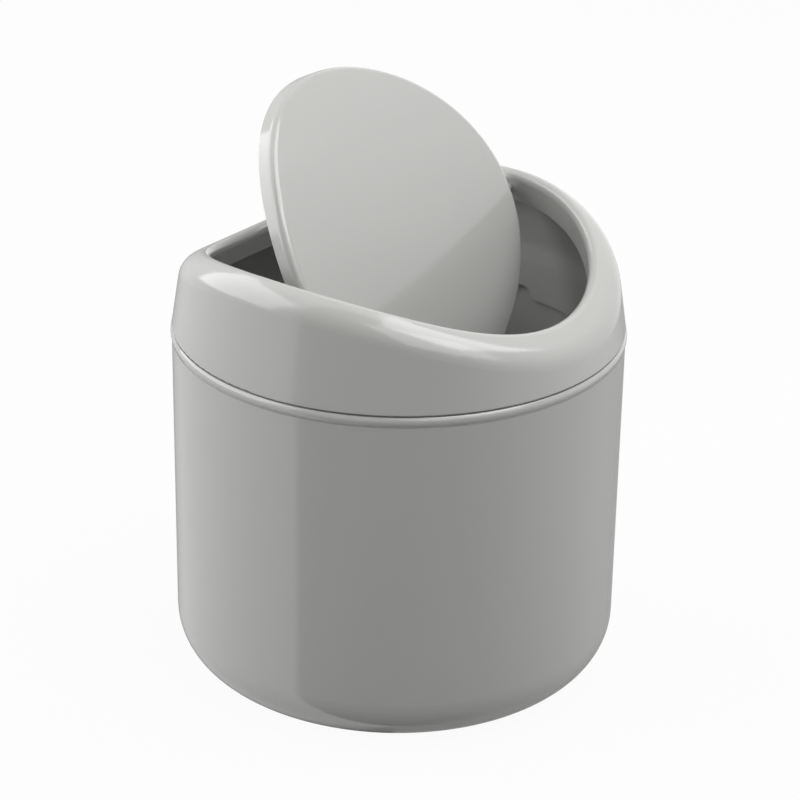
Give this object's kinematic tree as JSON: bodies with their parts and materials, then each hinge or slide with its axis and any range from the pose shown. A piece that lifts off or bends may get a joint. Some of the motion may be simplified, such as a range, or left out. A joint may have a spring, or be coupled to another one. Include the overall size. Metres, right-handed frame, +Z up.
{
  "type": "countertop swing-lid bin",
  "caption": "Small round countertop bin: open tub, push-on hood with a saddle-shaped mouth, and a see-saw flap on two moulded pins.",
  "frame": {"origin": "middle of the base, on the surface it stands on", "axes": "+Z up; the flap swings about an axis along X; the mouth is low towards -Y and +Y; the flap's outer face looks towards -Y"},
  "size_m": [0.1406, 0.1406, 0.1857],
  "materials": {
    "tub_plastic": "gloss",
    "hood_plastic": "gloss",
    "flap_plastic": "gloss"
  },
  "bodies": {
    "tub": {"tub": "tub_plastic"},
    "hood": {"hood": "hood_plastic"},
    "flap": {"flap": "flap_plastic"}
  },
  "joints": [
    {"name": "hood_lift", "type": "slide", "parent": "tub", "child": "hood", "axis": [0, 0, 1], "range_m": [0, 0.055]},
    {"name": "flap_swing", "type": "hinge", "parent": "hood", "child": "flap", "pos_m": [0, 0, 0.14], "axis": [1, 0, 0], "continuous": true}
  ]
}
